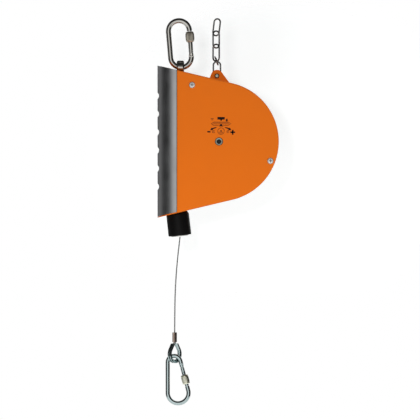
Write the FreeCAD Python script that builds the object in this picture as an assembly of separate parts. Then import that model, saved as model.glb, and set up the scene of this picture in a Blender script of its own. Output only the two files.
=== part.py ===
import FreeCAD, Part
import math
import os

from FreeCAD import Placement, Rotation, Vector

# Tool balancer: a half-round housing with a conical rope drum and a clock spring, hung from a
# screw-lock carabiner, with a second screw-lock carabiner on its wire rope and a safety chain.
# Millimetres. +Z is up and the front cover faces -Y. The origin is on the inner face of the
# suspension carabiner's top bend, straight above the suspension eye.

# Housing
HUB_X = 59.4            # drum axis
HUB_Z = -182.7
ROUND_R = 92.0          # half-round end of the housing
SLOPE = math.radians(13.4)  # top and bottom edges against the horizontal
SPINE_X = -35.4         # outer face of the spine
COVER_X = -5.0          # where the front cover meets the spine
HALF_DEPTH = 38.0
CLEAR = 60.0            # further than any wall, for cutting right through
SEAM_Y = -18.0          # plane where the front cover meets the back shell
WALL = 3.0
GAP = 0.2               # between fixed neighbours

# Spine guard
SPINE_HALF_DEPTH = 39.0
SPINE_ROUND = 29.0
SPINE_THICK = 4.0
SPINE_LEDGE = 1.6       # the shell's flange that shows under the spine
GRIP_PITCH = 28.0
GRIP_FIRST_Z = -112.0
GRIP_COUNT = 6
GRIP_R = 6.5
GRIP_DEPTH = 2.4

# Suspension eye and swivel
EYE_HOLE_R = 5.5
EYE_RADIAL = 2.65       # half thickness of the eye's ring
EYE_HALF_WIDTH = 5.8
SHANK_R = 5.1
WELL_R = 13.5
WELL_FLOOR = -85.0
SWIVEL_FLOOR = 8.0

# Chain ear
EAR_X = 56.3
EAR_Z = -81.1
EAR_R = 9.3
EAR_THICK = 4.0
EAR_GAP = 5.4
CHAIN_PIN_R = 2.5

# Drum, cable and spring
CABLE_R = 1.0
CABLE_X = -2.5          # line on which the cable falls from the drum
TURNS = 5
TURN_PITCH = 3.0
TURN_RISE = 2.6         # growth of the drum's radius from turn to turn
TURN_R = HUB_X - CABLE_X
SPRING_TURNS = 5
SPRING_STEP = 3.6       # radius gained in each half turn
SPRING_INNER_R = 13.5
SPRING_THICK = 1.0
ARBOR_R = 6.0
BORE_CLEAR = 0.05
HEX_FLATS = 6.0
TEETH = 12
TOOTH_ROOT = 19.0
TOOTH_TIP = 24.0
TOOTH_ANGLE = math.radians(27.0)
PAWL_AT = math.radians(-60.0)   # where the pawl's tip rests, from +X towards +Z

# Buffer and outlet
BUFFER_R = 17.75
BUFFER_LENGTH = 38.0
BUFFER_TILT = math.radians(6.5)
BUFFER_END = Vector(-0.7, 0, -327.3)
POCKET_R = 19.4

# Hanging rope, from the clamp to the ferrule
ROPE_ROUTE = [
    Vector(-0.7, 0, -329.4),
    Vector(-3.3, 0, -351.0),
    Vector(-6.3, 0, -382.0),
    Vector(-8.2, 0, -414.0),
    Vector(-8.85, 0, -446.0),
    Vector(-9.0, 0, -477.0),
]
BEND_SHARE = 0.45

# Rope end
LOOP_TURN = 52.0        # degrees between the thimble's plane and the housing's face
LOOP_X = -9.0
LOOP_Z = -510.3
FERRULE_TOP = -477.0
FERRULE_LENGTH = 15.0
THIMBLE_IN_R = 8.8
THIMBLE_BASE = 1.4
THIMBLE_FLARE = 1.7     # bevel of the inner edges
THIMBLE_WALL = 1.4
THIMBLE_OUT_R = 14.0
THIMBLE_WIDTH = 5.4
THIMBLE_HALF_ANGLE = math.radians(34.4)

# Cover screws, bushes and posts
COVER_SCREWS = [(18.0, -95.9), (138.4, -212.6)]
SCREW_R = 2.5
POST_R = 5.5
RIM_ROUND = 3.0
RIBS = 6
BOSS_R = 12.0
BUSH_R = 8.0
BUSH_LENGTH = 7.0
SWIVEL_BUSH_R = 7.5
GUIDE_R = 6.0

# Pawl, its pivot given from the drum axis
PAWL_X = HUB_X + 34.7
PAWL_Z = HUB_Z - 14.7
PAWL_Y = 20.5
PAWL_THICK = 5.0
PAWL_PIN_R = 2.5

# Chain, from the ear up: each link's lengthwise and crosswise directions, how far its lower
# wire lies past the point it hangs on, and how far in from its upper wire the next one hangs
LINK_LENGTH = 28.6
LINK_WIDTH = 13.5
LINK_R = 1.25
CHAIN = [
    (Vector(0, 0, 1), Vector(1, 0, 0), 4.05, 0),
    (Vector(-0.06, 0.98, 0.15), Vector(-0.325, -0.15, 0.9), 2.95, 3.8),
    (Vector(0, 0, 1), Vector(0.87, -0.5, 0), 1.6, 0),
    (Vector(0, 0, 1), Vector(0.87, 0.5, 0), 5.65, 0),
    (Vector(0.12, 0, 1), Vector(0.87, -0.5, 0), 7.1, 0),
]

# Carabiners: bend centres and radii, wire, then distances along the gate from the nose bend
TOP_NOSE, TOP_NOSE_R = Vector(-2.3, 0, -11.98), 16.2
TOP_HINGE, TOP_HINGE_R = Vector(0.9, 0, -52.0), 16.0
TOP_WIRE_R = 4.0
TOP_SIZES = dict(joint=0.9, gap=0.45, hinge=37.0, clear=4.5, tongue=2.8, pin=1.5,
                 gate_r=3.5, sleeve=(2.0, 18.2), sleeve_r=6.8, bore=4.3)
HOOK_NOSE, HOOK_NOSE_R = Vector(-3.6, 0, -570.3), 16.05
HOOK_HINGE, HOOK_HINGE_R = Vector(-9.8, 0, -523.1), 9.9
HOOK_WIRE_R = 3.25
HOOK_SIZES = dict(joint=6.7, gap=0.4, hinge=38.6, clear=3.75, tongue=2.4, pin=1.2,
                  gate_r=2.9, sleeve=(9.9, 24.4), sleeve_r=5.8, bore=3.55)

EYE_CENTRE = Vector(0, 0, -68.15)
SHANK_END = -104.0
GUIDE_TOP = -270.0

Y = Vector(0, 1, 0)
Z = Vector(0, 0, 1)
ORIGIN = Vector(0, 0, 0)


# ---------------------------------------------------------------- shared forms

def save(node, *solids):
    """Writes one node as its own STEP file."""
    shape = solids[0] if len(solids) == 1 else Part.makeCompound(list(solids))
    shape.exportStep("parts/" + node + ".step")
    return shape


def fused(*solids):
    """One solid from several that meet."""
    return solids[0].multiFuse(list(solids[1:])).removeSplitter()


def rod(radius, start, end):
    """A round bar between two points."""
    return Part.makeCylinder(radius, (end - start).Length, start, end - start)


def disc(x, z, radius, y_front, y_back):
    """A round bar along Y."""
    return rod(radius, Vector(x, y_front, z), Vector(x, y_back, z))


def tube(x, z, outer, inner, y_front, y_back):
    """A bush or ring along Y."""
    return disc(x, z, outer, y_front, y_back).cut(disc(x, z, inner, y_front - 1, y_back + 1))


def block(low, high):
    """A box between two corners."""
    size = high - low
    return Part.makeBox(size.x, size.y, size.z, low)


def turned(profile, origin, direction):
    """A solid of revolution from (radius, distance along the axis) corners."""
    corners = [Vector(r, 0, h) for r, h in profile]
    return spun(Part.makePolygon(corners + corners[:1]), origin, direction)


def spun(wire, origin, direction):
    """A solid of revolution from a closed wire in the XZ plane, turned about Z and then placed."""
    solid = Part.Face(wire).revolve(ORIGIN, Z, 360)
    solid.Placement = Placement(origin, Rotation(Z, direction))
    return solid


def rounded(corners, radii):
    """A closed wire through corners, each rounded by its own radius (0 keeps it sharp)."""
    ends = []
    for i, corner in enumerate(corners):
        back = (corners[i - 1] - corner).normalize()
        ahead = (corners[(i + 1) % len(corners)] - corner).normalize()
        if radii[i] == 0:
            ends.append((corner, None, corner))
            continue
        half = back.getAngle(ahead) / 2
        reach = radii[i] / math.tan(half)
        inward = (back + ahead).normalize()
        middle = corner + inward * (radii[i] / math.sin(half) - radii[i])
        ends.append((corner + back * reach, middle, corner + ahead * reach))
    edges = []
    for i, (start, middle, end) in enumerate(ends):
        if middle:
            edges.append(Part.Arc(start, middle, end).toShape())
        following = ends[(i + 1) % len(ends)][0]
        if (following - end).Length > 1e-6:
            edges.append(Part.LineSegment(end, following).toShape())
    return Part.Wire(edges)


def plate_y(wire, y_front, y_back):
    """A plate along Y from a closed wire in the XZ plane."""
    face = Part.Face(wire)
    face.translate(Vector(0, y_front, 0))
    return face.extrude(Vector(0, y_back - y_front, 0))


def swept(edges, radius):
    """A round wire or rope: a bar along each straight edge and part of a ring along each arc."""
    pieces = []
    for edge in edges:
        start, end = (edge.valueAt(p) for p in edge.ParameterRange)
        if edge.Curve.TypeId == "Part::GeomLine":
            pieces.append(rod(radius, start, end))
            continue
        circle = Part.makeCircle(radius, start, edge.tangentAt(edge.FirstParameter))
        turn = math.degrees(edge.LastParameter - edge.FirstParameter)
        face = Part.Face(Part.Wire(circle))
        pieces.append(face.revolve(edge.Curve.Center, edge.Curve.Axis, turn))
    return fused(*pieces) if len(pieces) > 1 else pieces[0]


# ---------------------------------------------------------------- housing

def outline(radius, left):
    """The housing's outline: a vertical left side, two sloping lines and the round end."""
    touch_x = HUB_X + radius * math.sin(SLOPE)
    touch_z = radius * math.cos(SLOPE)
    half_left = touch_z + (touch_x - left) * math.tan(SLOPE)
    top_left = Vector(left, 0, HUB_Z + half_left)
    top_touch = Vector(touch_x, 0, HUB_Z + touch_z)
    nose = Vector(HUB_X + radius, 0, HUB_Z)
    low_touch = Vector(touch_x, 0, HUB_Z - touch_z)
    low_left = Vector(left, 0, HUB_Z - half_left)
    return Part.Wire([
        Part.LineSegment(top_left, top_touch).toShape(),
        Part.Arc(top_touch, nose, low_touch).toShape(),
        Part.LineSegment(low_touch, low_left).toShape(),
        Part.LineSegment(low_left, top_left).toShape(),
    ])


def bottom_edge(x):
    """Height of the housing's lower edge at x."""
    touch_x = HUB_X + ROUND_R * math.sin(SLOPE)
    return HUB_Z - ROUND_R * math.cos(SLOPE) - (touch_x - x) * math.tan(SLOPE)


def top_edge(x):
    """Height of the housing's upper edge at x."""
    return 2 * HUB_Z - bottom_edge(x)


def spine_prism(inset, right):
    """A prism along Z with the spine's rounded section, its faces moved in by inset."""
    left = SPINE_X + inset
    deep = SPINE_HALF_DEPTH - inset
    corners = [Vector(right, -deep, 0), Vector(left, -deep, 0),
               Vector(left, deep, 0), Vector(right, deep, 0)]
    turn = SPINE_ROUND - inset
    face = Part.Face(rounded(corners, [0, turn, turn, 0]))
    face.translate(Vector(0, 0, -320))
    return face.extrude(Vector(0, 0, 280))


def spine_guard():
    """Extruded grip that wraps the left side, with finger grooves across its outer face."""
    ring = spine_prism(0, COVER_X - GAP).cut(spine_prism(SPINE_THICK, COVER_X + 1))
    trimmed = ring.common(plate_y(outline(ROUND_R, SPINE_X), -CLEAR, CLEAR))
    ledge = plate_y(outline(ROUND_R, SPINE_X - 1), -CLEAR, CLEAR)
    ledge.translate(Vector(0, 0, SPINE_LEDGE + GAP))
    trimmed = trimmed.common(ledge)
    grip_x = SPINE_X + GRIP_DEPTH - GRIP_R
    grips = [disc(grip_x, GRIP_FIRST_Z - k * GRIP_PITCH, GRIP_R, -CLEAR, CLEAR)
             for k in range(GRIP_COUNT)]
    return trimmed.cut(Part.makeCompound(grips))


def along_buffer(distance):
    """A point on the buffer's tilted axis, measured up from its lower end."""
    return BUFFER_END + Vector(-math.sin(BUFFER_TILT), 0, math.cos(BUFFER_TILT)) * distance


def outlet_pocket():
    """The round pocket under the housing that the buffer seats in."""
    return rod(POCKET_R, along_buffer(-20), along_buffer(BUFFER_LENGTH + 0.3))


def front_cover():
    """Dished cover with a rounded rim, post ends for its screws and a boss for the front bush."""
    shell = plate_y(outline(ROUND_R, COVER_X), -HALF_DEPTH, SEAM_Y - GAP)
    rim = [e for e in shell.Edges if all(abs(v.Y + HALF_DEPTH) < 1e-4 for v in e.Vertexes)
           and not all(abs(v.X - COVER_X) < 1e-4 for v in e.Vertexes)]
    shell = shell.makeFillet(RIM_ROUND, rim)
    hollow = plate_y(outline(ROUND_R - WALL, COVER_X - 5), WALL - HALF_DEPTH, SEAM_Y + 1)
    shell = shell.cut(hollow)
    inner = WALL - HALF_DEPTH
    posts = [disc(x, z, POST_R, inner - 1, SEAM_Y - GAP) for x, z in COVER_SCREWS]
    boss = disc(HUB_X, HUB_Z, BOSS_R, inner - 1, inner + BUSH_LENGTH)
    within = plate_y(outline(ROUND_R - WALL / 2, COVER_X), inner - 1, SEAM_Y)
    ribs = []
    for k in range(RIBS):
        rib = block(Vector(BOSS_R - 1, inner - 1, -1), Vector(ROUND_R - WALL + 1, inner + 1.6, 1))
        rib.Placement = Placement(Vector(HUB_X, 0, HUB_Z), Rotation(Y, 360.0 * k / RIBS + 18))
        ribs.append(rib.common(within))
    shell = fused(shell, boss, *posts, *ribs)
    holes = [disc(x, z, SCREW_R + 0.25, -CLEAR, SEAM_Y + 1) for x, z in COVER_SCREWS]
    holes.append(disc(HUB_X, HUB_Z, BUSH_R, inner, SEAM_Y))
    holes.append(disc(HUB_X, HUB_Z, ARBOR_R + 0.3, -CLEAR, SEAM_Y))
    return shell.cut(Part.makeCompound(holes)).cut(outlet_pocket())


def shell_form(inset):
    """The back shell's form with its walls moved in by inset, open towards the front cover."""
    deep = plate_y(outline(ROUND_R - inset, COVER_X - 0.5 * (inset > 0)), SEAM_Y, HALF_DEPTH - inset)
    narrow = spine_prism(SPINE_THICK + GAP + inset, COVER_X + (0.1 if inset else -GAP))
    narrow = narrow.common(plate_y(outline(ROUND_R - inset, SPINE_X - 5), -CLEAR, CLEAR))
    return deep.fuse(narrow)


def ear(y_front):
    """One lug of the safety chain's ear, flared into the sloping top wall."""
    foot_left = Vector(EAR_X - 12, 0, top_edge(EAR_X - 12) - WALL / 2)
    foot_right = Vector(EAR_X + 21, 0, top_edge(EAR_X + 21) - WALL / 2)
    lug = disc(EAR_X, EAR_Z, EAR_R, y_front, y_front + EAR_THICK)
    left_touch = Vector(EAR_X - EAR_R * 0.93, 0, EAR_Z + EAR_R * 0.37)
    right_touch = Vector(EAR_X + EAR_R * 0.78, 0, EAR_Z + EAR_R * 0.626)
    web = Part.makePolygon([foot_left, left_touch, right_touch, foot_right, foot_left])
    return fused(lug, plate_y(web, y_front, y_front + EAR_THICK))


def back_shell():
    """Deep shell with the swivel boss, the chain ear, bearing boss, posts and outlet block."""
    outside = shell_form(0)
    rim = [e for e in outside.Edges if all(abs(v.Y - HALF_DEPTH) < 1e-4 for v in e.Vertexes)
           and not all(abs(v.X - COVER_X) < 1e-4 for v in e.Vertexes)]
    outside = outside.makeFillet(RIM_ROUND, rim)
    shell = outside.cut(shell_form(WALL))
    flange = spine_prism(0, COVER_X).common(plate_y(outline(ROUND_R, SPINE_X - 1), -CLEAR, CLEAR))
    above = plate_y(outline(ROUND_R, SPINE_X - 2), -CLEAR, CLEAR)
    above.translate(Vector(0, 0, SPINE_LEDGE))
    flange = flange.cut(above)
    inner = HALF_DEPTH - WALL
    limits = shell_form(WALL / 2)
    well = rod(WELL_R + WALL, Vector(0, 0, WELL_FLOOR - SWIVEL_FLOOR), Vector(0, 0, -60)).common(limits)
    outlet = rod(POCKET_R + WALL, along_buffer(0), along_buffer(BUFFER_LENGTH + 11)).common(limits)
    bearing = disc(HUB_X, HUB_Z, BOSS_R, inner - BUSH_LENGTH, inner + 1)
    pawl_post = disc(PAWL_X, PAWL_Z, 6.0, PAWL_Y + PAWL_THICK + 0.3, inner + 1)
    posts = [disc(x, z, POST_R, SEAM_Y, inner + 1) for x, z in COVER_SCREWS]
    ears = [ear(-EAR_GAP / 2 - EAR_THICK), ear(EAR_GAP / 2)]
    shell = fused(shell, flange, well, outlet, bearing, pawl_post, *posts, *ears)
    cuts = [
        block(Vector(COVER_X - GAP, -CLEAR, -320), Vector(CLEAR, SEAM_Y, -200)),
        rod(WELL_R, Vector(0, 0, WELL_FLOOR), Vector(0, 0, -50)),
        rod(SWIVEL_BUSH_R, Vector(0, 0, WELL_FLOOR - 20), Vector(0, 0, WELL_FLOOR + 1)),
        outlet_pocket(),
        rod(GUIDE_R, Vector(CABLE_X, 0, -300), Vector(CABLE_X, 0, -250)),
        disc(HUB_X, HUB_Z, BUSH_R, inner - BUSH_LENGTH - 1, inner),
        disc(PAWL_X, PAWL_Z, PAWL_PIN_R, PAWL_Y, inner),
        disc(EAR_X, EAR_Z, CHAIN_PIN_R + 0.02, -20, 20),
    ]
    cuts += [disc(x, z, SCREW_R, SEAM_Y - 1, SEAM_Y + 14) for x, z in COVER_SCREWS]
    return shell.cut(Part.makeCompound(cuts))


def pan_screw(x, z, y_face):
    """Pan-head screw driven from the front."""
    head = [(0, -3.4), (1.8, -3.3), (3.6, -2.6), (4.6, -1.2), (4.75, 0), (SCREW_R - 0.05, 0),
            (SCREW_R - 0.05, 32.0), (0, 33.2)]
    screw = turned(head, Vector(x, y_face, z), Y)
    bars = [block(Vector(-2.6, -4.0, -0.55), Vector(2.6, -1.6, 0.55)),
            block(Vector(-0.55, -4.0, -2.6), Vector(0.55, -1.6, 2.6))]
    for bar in bars:
        bar.translate(Vector(x, y_face, z))
    return screw.cut(Part.makeCompound(bars))


def suspension_eye():
    """Closed eye with a rounded bail and a round shank that the housing swivels on."""
    centre_r = EYE_HOLE_R + EYE_RADIAL
    low, high = centre_r - EYE_RADIAL, centre_r + EYE_RADIAL
    section = [Vector(-EYE_HALF_WIDTH, low, 0), Vector(EYE_HALF_WIDTH, low, 0),
               Vector(EYE_HALF_WIDTH, high, 0), Vector(-EYE_HALF_WIDTH, high, 0)]
    bail = Part.Face(rounded(section, [EYE_RADIAL - 0.05] * 4)).revolve(ORIGIN, Vector(1, 0, 0), 360)
    bail.translate(EYE_CENTRE)
    foot = Vector(EYE_CENTRE.x, 0, EYE_CENTRE.z - centre_r)
    shank = rod(SHANK_R, foot, Vector(EYE_CENTRE.x, 0, SHANK_END))
    collar = rod(SHANK_R + 2.4, Vector(EYE_CENTRE.x, 0, WELL_FLOOR + 0.3),
                 Vector(EYE_CENTRE.x, 0, WELL_FLOOR + 2.3))
    return fused(bail, shank, collar)


# ---------------------------------------------------------------- carabiners

class Carabiner:
    """A wire loop of two bends and two straight sides, with a gate in one side.

    nose and hinge are the bends' centres at the gate's free and hinged ends, side is +1
    where the gate lies to the right of the way from nose to hinge, and -1 to the left."""

    def __init__(self, nose, nose_r, hinge, hinge_r, side, wire_r, sizes):
        self.nose, self.nose_r = nose, nose_r
        self.hinge, self.hinge_r = hinge, hinge_r
        self.wire_r = wire_r
        self.sizes = sizes
        down = hinge - nose
        span = down.Length
        down = down / span
        across = Vector(-down.z, 0, down.x)
        share = (nose_r - hinge_r) / span
        reach = math.sqrt(1 - share * share)
        gate_side = down * share + across * (side * reach)
        spine_side = down * share - across * (side * reach)
        self.start = nose + gate_side * nose_r
        self.stop = hinge + gate_side * hinge_r
        self.back_start = nose + spine_side * nose_r
        self.back_stop = hinge + spine_side * hinge_r
        self.nose_top = nose - down * nose_r
        self.hinge_top = hinge + down * hinge_r
        self.heading = (self.stop - self.start).normalize()
        self.outward = gate_side

    def at(self, along):
        """A point on the gate's line, measured from the nose bend."""
        return self.start + self.heading * along

    def bar(self, radius, first, last):
        return rod(radius, self.at(first), self.at(last))

    def knuckle(self, radius, half_width):
        pin = self.at(self.sizes["hinge"])
        return disc(pin.x, pin.z, radius, -half_width, half_width)

    def body(self):
        """The bent wire, flattened to a tongue where the gate's pin passes."""
        s = self.sizes
        edges = [
            Part.LineSegment(self.at(s["joint"]), self.start).toShape(),
            Part.Arc(self.start, self.nose_top, self.back_start).toShape(),
            Part.LineSegment(self.back_start, self.back_stop).toShape(),
            Part.Arc(self.back_stop, self.hinge_top, self.stop).toShape(),
            Part.LineSegment(self.stop, self.at(s["hinge"])).toShape(),
        ]
        wire = swept(edges, self.wire_r)
        tongue = self.bar(self.wire_r, s["hinge"], s["hinge"] + s["clear"] + 2)
        slab = block(Vector(-CLEAR, -s["tongue"] / 2, -700), Vector(CLEAR, s["tongue"] / 2, 60))
        tongue = tongue.common(slab)
        eye = self.knuckle(self.wire_r - 0.3, s["tongue"] / 2)
        solid = wire.cut(self.knuckle(s["clear"], self.wire_r + 1))
        solid = fused(solid, tongue, eye)
        return solid.cut(self.knuckle(s["pin"] + BORE_CLEAR, self.wire_r + 1))

    def gate(self):
        """Straight bar with a fork over the tongue and a short threaded stretch."""
        s = self.sizes
        end = s["hinge"]
        beyond = self.bar(s["gate_r"] + 1, end, end + 6).cut(self.knuckle(s["gate_r"], s["gate_r"] + 1))
        gate = self.bar(s["gate_r"], s["joint"] + s["gap"], end + 5).cut(beyond)
        half_slot = s["tongue"] / 2 + 0.3
        slot = self.knuckle(s["clear"], half_slot)
        return gate.cut(slot).cut(self.knuckle(s["pin"] + 0.02, self.wire_r + 1))

    def pin(self):
        """Rivet through the fork and the tongue."""
        s = self.sizes
        return self.knuckle(s["pin"], s["gate_r"] + 0.5)

    def sleeve(self):
        """Screw sleeve with bevelled ends and a shallow waist at each end."""
        s = self.sizes
        low, high, outer, bore = s["sleeve"][0], s["sleeve"][1], s["sleeve_r"], s["bore"]
        length = high - low
        profile = [(bore, 0), (outer - 0.9, 0), (outer, 0.9), (outer, 2.2), (outer - 0.5, 2.7),
                   (outer - 0.5, length - 2.7), (outer, length - 2.2), (outer, length - 0.9),
                   (outer - 0.9, length), (bore, length)]
        return turned(profile, self.at(low), self.heading)


# ---------------------------------------------------------------- chain

def link_form():
    """A welded chain link about the origin, long along Z and flat across Y."""
    half = LINK_LENGTH / 2 - LINK_WIDTH / 2
    bend = (LINK_WIDTH - 2 * LINK_R) / 2
    halves = []
    for sign in (1, -1):
        edges = [
            Part.LineSegment(Vector(bend, 0, 0), Vector(bend, 0, sign * half)).toShape(),
            Part.Arc(Vector(bend, 0, sign * half), Vector(0, 0, sign * (half + bend)),
                     Vector(-bend, 0, sign * half)).toShape(),
            Part.LineSegment(Vector(-bend, 0, sign * half), Vector(-bend, 0, 0)).toShape(),
        ]
        halves.append(swept(edges, LINK_R))
    return fused(*halves)


def chain():
    """Places each link from the one before: (link, hinge point, hinge axis) in order."""
    reach = LINK_LENGTH / 2 - LINK_R
    anchor = Vector(EAR_X, 0, EAR_Z)
    axis = Y
    placed = []
    for lean, across, engaged, inward in CHAIN:
        lean = lean.normalize()
        across = (across - lean * across.dot(lean)).normalize()
        middle = anchor + lean * (reach - engaged)
        rotation = Rotation(across, lean.cross(across), lean, "ZXY")
        link = link_form()
        link.Placement = Placement(middle, rotation)
        placed.append((link, anchor, axis))
        anchor = middle + lean * (reach - inward)
        axis = across
    return placed


# ---------------------------------------------------------------- drum, spring and preload

def polar(radius, angle):
    """A point around the drum axis, the angle from +X towards +Z."""
    return Vector(HUB_X + radius * math.cos(angle), 0, HUB_Z + radius * math.sin(angle))


def drum():
    """Conical rope drum: hub, web, stepped grooves and two flanges."""
    profile = [(9.0, -5.0), (65.5, -5.0), (65.5, -2.6)]
    for k in range(TURNS):
        r, y = TURN_R + k * TURN_RISE, k * TURN_PITCH
        profile += [(r - 0.2, y - 1.5), (r - 1.35, y - 0.75), (r - 1.35, y + 1.2)]
    top = TURNS * TURN_PITCH
    profile += [(77.0, top - 1.4), (77.0, top + 0.6), (66.0, top + 0.6), (57.0, -2.0),
                (13.0, -2.0), (13.0, top + 1.0), (9.0, top + 1.0)]
    return turned(profile, polar(0, 0), Y)


def wound_cable():
    """The rope's turns on the drum, the first one open where the rope leaves it."""
    turns = []
    for k in range(TURNS):
        r, y = TURN_R + k * TURN_RISE, k * TURN_PITCH
        corners = [Vector(HUB_X - r - CABLE_R * math.cos(math.radians(90 * i)),
                          y + CABLE_R * math.sin(math.radians(90 * i)), HUB_Z) for i in range(4)]
        section = Part.Face(Part.makePolygon(corners + corners[:1]))
        turns.append(section.revolve(polar(0, 0), Y, 325 if k == 0 else 360))
    return turns


def clock_spring():
    """Flat spiral strip: half circles about two alternate centres, each wider than the last."""
    inside, outside = [], []
    for half_turn in range(2 * SPRING_TURNS):
        side = 1 if half_turn % 2 == 0 else -1
        centre = Vector(HUB_X + (0 if side == 1 else -SPRING_STEP), 0, HUB_Z)
        radius = SPRING_INNER_R + SPRING_STEP * half_turn
        for edges, r in ((inside, radius), (outside, radius + SPRING_THICK)):
            start, end = centre - Vector(side * r, 0, 0), centre + Vector(side * r, 0, 0)
            middle = centre + Vector(0, 0, side * r)
            edges.append(Part.Arc(start, middle, end).toShape())
    ends = []
    for vertex in (0, 1):
        k = 0 if vertex == 0 else -1
        points = [edges[k].Vertexes[vertex].Point for edges in (inside, outside)]
        ends.append(Part.LineSegment(*points).toShape())
    wire = Part.Wire(Part.__sortEdges__(inside + outside + ends))
    return plate_y(wire, -27.5, -7.0)


def arbor():
    """Stepped preload shaft with a hexagon socket in its front end and a lug for the spring."""
    profile = [(0, -39.2), (5.3, -39.2), (ARBOR_R, -38.5), (ARBOR_R, -27.7), (10.0, -27.7),
               (10.0, -6.0), (7.0, -6.0), (7.0, 18.0), (ARBOR_R, 18.0), (ARBOR_R, 34.5), (0, 34.5)]
    shaft = turned(profile, polar(0, 0), Y)
    lug = block(Vector(HUB_X - 12.8, -26, HUB_Z - 1.5), Vector(HUB_X - 9, -9, HUB_Z + 1.5))
    corners = [polar(HEX_FLATS / math.sqrt(3), math.radians(60 * k + 30)) for k in range(6)]
    socket = plate_y(Part.makePolygon(corners + corners[:1]), -40.0, -27.0)
    cone = Part.makeCone(4.2, 3.0, 0.9, Vector(HUB_X, -39.25, HUB_Z), Y)
    return fused(shaft, lug).cut(socket).cut(cone)


def ratchet_wheel():
    """Saw-toothed wheel: each tooth ramps up and then drops steeply."""
    corners = []
    for k in range(TEETH):
        angle = PAWL_AT + 2 * math.pi * k / TEETH
        corners += [polar(TOOTH_ROOT, angle), polar(TOOTH_TIP, angle + TOOTH_ANGLE)]
    wheel = plate_y(Part.makePolygon(corners + corners[:1]), 20.0, 26.0)
    return wheel.cut(disc(HUB_X, HUB_Z, ARBOR_R + 0.02, 19, 27))


def pawl():
    """Hooked catch whose nose sits in a tooth gap."""
    nose = [polar(19.5, math.radians(-58.9)), polar(24.8, math.radians(-61.9)),
            polar(28.5, math.radians(-60.5))]
    pivot = Vector(PAWL_X, 0, PAWL_Z)
    outer, inner = pivot + Vector(1.7, 0, -5.2), pivot + Vector(-2.2, 0, 5.0)
    corners = nose + [outer, inner, polar(24.9, math.radians(-53))]
    arm = plate_y(Part.makePolygon(corners + corners[:1]), PAWL_Y, PAWL_Y + PAWL_THICK)
    solid = fused(arm, disc(PAWL_X, PAWL_Z, 5.5, PAWL_Y, PAWL_Y + PAWL_THICK))
    return solid.cut(disc(PAWL_X, PAWL_Z, PAWL_PIN_R + BORE_CLEAR, 0, 40))


def pawl_spring():
    """Single-coil torsion spring round the pawl's post, one leg over the pawl's back."""
    corners = [(6.8, 27.6), (7.6, 27.6), (7.6, 28.4), (6.8, 28.4)]
    coil = turned(corners, Vector(PAWL_X, 0, PAWL_Z), Y)
    leg = block(Vector(PAWL_X - 20, 27.6, PAWL_Z - 7.6), Vector(PAWL_X, 28.4, PAWL_Z - 6.8))
    tail = block(Vector(PAWL_X + 6.8, 27.6, PAWL_Z), Vector(PAWL_X + 7.6, 28.4, PAWL_Z + 14))
    return fused(coil, leg, tail)


# ---------------------------------------------------------------- rope, buffer and clamp

def drawn_cable():
    """The stretch from the drum to the clamp, which grows as the rope is pulled out."""
    return rod(CABLE_R, Vector(CABLE_X, 0, -308.4), Vector(CABLE_X, 0, HUB_Z - 0.8))


def hanging_cable():
    """The rope below the clamp: straight runs joined by arcs as wide as the runs allow."""
    edges, start = [], ROPE_ROUTE[0]
    for before, corner, after in zip(ROPE_ROUTE, ROPE_ROUTE[1:], ROPE_ROUTE[2:]):
        back, ahead = before - corner, after - corner
        reach = BEND_SHARE * min(back.Length, ahead.Length)
        back, ahead = back.normalize(), ahead.normalize()
        half_turn = (math.pi - back.getAngle(ahead)) / 2
        radius = reach / math.tan(half_turn)
        bulge = radius / math.cos(half_turn) - radius
        middle = corner + (back + ahead).normalize() * bulge
        end = corner + ahead * reach
        edges.append(Part.LineSegment(start, corner + back * reach).toShape())
        edges.append(Part.Arc(corner + back * reach, middle, end).toShape())
        start = end
        print("rope bend radius", round(radius, 1))
    edges.append(Part.LineSegment(start, ROPE_ROUTE[-1]).toShape())
    solid = swept(edges, CABLE_R)
    length = sum(e.Length for e in edges)
    print("rope length", round(length, 1), "volume ratio",
          round(solid.Volume / (math.pi * CABLE_R ** 2 * length), 4))
    return solid


def cable_clamp():
    """Turned clamp inside the buffer, with a flange that shows below the rubber."""
    profile = [(0, 21.0), (9.6, 21.0), (11.2, 19.4), (11.2, 1.0), (13.5, 1.0), (13.5, -0.5),
               (12.6, -1.2), (0, -1.2)]
    clamp = turned(profile, BUFFER_END, along_buffer(1) - BUFFER_END)
    first = ROPE_ROUTE[0] - ROPE_ROUTE[1]
    mouth = rod(CABLE_R, ROPE_ROUTE[0], ROPE_ROUTE[0] - first)
    return clamp.cut(mouth).cut(drawn_cable())


def rubber_buffer():
    """Round rubber stop: domed shoulder, hollow below for the clamp, open through the top."""
    corners = [Vector(r, 0, h) for r, h in (
        (4.5, BUFFER_LENGTH), (BUFFER_R - 0.3, BUFFER_LENGTH), (BUFFER_R, 1.0),
        (BUFFER_R - 1.0, 0), (13.8, 0), (13.8, 1.2), (11.5, 1.2), (11.5, 21.3), (4.5, 21.3))]
    wire = rounded(corners, [0, 7.0, 0, 0, 0, 0, 0, 0, 0])
    return spun(wire, BUFFER_END, along_buffer(1) - BUFFER_END)


def outlet_guide():
    """Flanged bush that the rope runs through, trimmed flush with the buffer's seat."""
    guide = fused(rod(GUIDE_R - 0.05, Vector(CABLE_X, 0, -300), Vector(CABLE_X, 0, -268)),
                  rod(GUIDE_R + 3, Vector(CABLE_X, 0, GUIDE_TOP), Vector(CABLE_X, 0, GUIDE_TOP + 2)))
    bore = rod(2.5, Vector(CABLE_X, 0, -310), Vector(CABLE_X, 0, -200))
    return guide.cut(bore).cut(outlet_pocket())


# ---------------------------------------------------------------- rope end

def turned_to_loop(shape):
    """Turns a shape made about the loop's centre in the XZ plane into the loop's own plane."""
    shape.rotate(ORIGIN, Z, LOOP_TURN)
    shape.translate(Vector(LOOP_X, 0, LOOP_Z))
    return shape


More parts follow.
